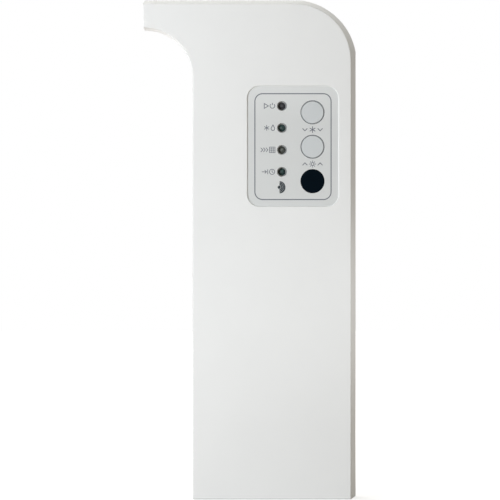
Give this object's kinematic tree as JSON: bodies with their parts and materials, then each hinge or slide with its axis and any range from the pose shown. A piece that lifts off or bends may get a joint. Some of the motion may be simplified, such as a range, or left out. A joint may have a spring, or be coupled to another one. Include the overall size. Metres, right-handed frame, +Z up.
{
  "type": "heat pump control end cover",
  "caption": "Shallow moulded end cover for an indoor heat pump, with a short arm over a rounded notch and a recessed panel of lamps, press buttons and a remote receiver window.",
  "frame": {"origin": "middle of the bounding box's bottom face", "axes": "+Z up along the cover's long side, -Y out of the face, +X to the right as seen from the front"},
  "size_m": [0.1236, 0.028, 0.2904],
  "materials": {
    "cover_abs": "fine moulded grain, off-white",
    "overlay_polycarbonate": "satin printed sheet",
    "button_abs": "satin",
    "smoked_acrylic": "polished",
    "black_abs": "moulded",
    "red_epoxy": "dark tinted, diffused",
    "green_epoxy": "dark tinted, diffused",
    "yellow_epoxy": "dark tinted, diffused",
    "black_epoxy": "moulded",
    "switch_nylon": "moulded",
    "board_laminate": "solder mask on glass-fibre laminate",
    "header_nylon": "natural nylon",
    "tinned_brass": "tin plated",
    "capacitor_can": "shrink sleeve on a drawn can",
    "resistor_ceramic": "glazed body with tinned ends",
    "screw_steel": "zinc plated"
  },
  "bodies": {
    "cover": {"end_cover": "cover_abs", "overlay_sheet": "overlay_polycarbonate", "receiver_window": "smoked_acrylic", "light_shield": "black_abs", "run_led": "red_epoxy", "defrost_led": "green_epoxy", "filter_led": "yellow_epoxy", "timer_led": "green_epoxy", "infrared_receiver": "black_epoxy", "cool_switch": "switch_nylon", "heat_switch": "switch_nylon", "circuit_board": "board_laminate", "wire_header": "header_nylon", "header_pin_1": "tinned_brass", "header_pin_2": "tinned_brass", "header_pin_3": "tinned_brass", "header_pin_4": "tinned_brass", "header_pin_5": "tinned_brass", "driver_chip": "black_epoxy", "buzzer": "black_abs", "smoothing_capacitor": "capacitor_can", "lamp_resistor_1": "resistor_ceramic", "lamp_resistor_2": "resistor_ceramic", "lamp_resistor_3": "resistor_ceramic", "lamp_resistor_4": "resistor_ceramic", "board_screw_1": "screw_steel", "board_screw_2": "screw_steel", "board_screw_3": "screw_steel", "board_screw_4": "screw_steel"},
    "cool_key": {"cool_button": "button_abs", "cool_plunger": "switch_nylon"},
    "heat_key": {"heat_button": "button_abs", "heat_plunger": "switch_nylon"}
  },
  "joints": [
    {"name": "cool_press", "type": "slide", "parent": "cover", "child": "cool_key", "axis": [0, 1, 0], "range_m": [0, 0.0006], "stiffness_N_per_m": 2500},
    {"name": "heat_press", "type": "slide", "parent": "cover", "child": "heat_key", "axis": [0, 1, 0], "range_m": [0, 0.0006], "stiffness_N_per_m": 2500}
  ]
}
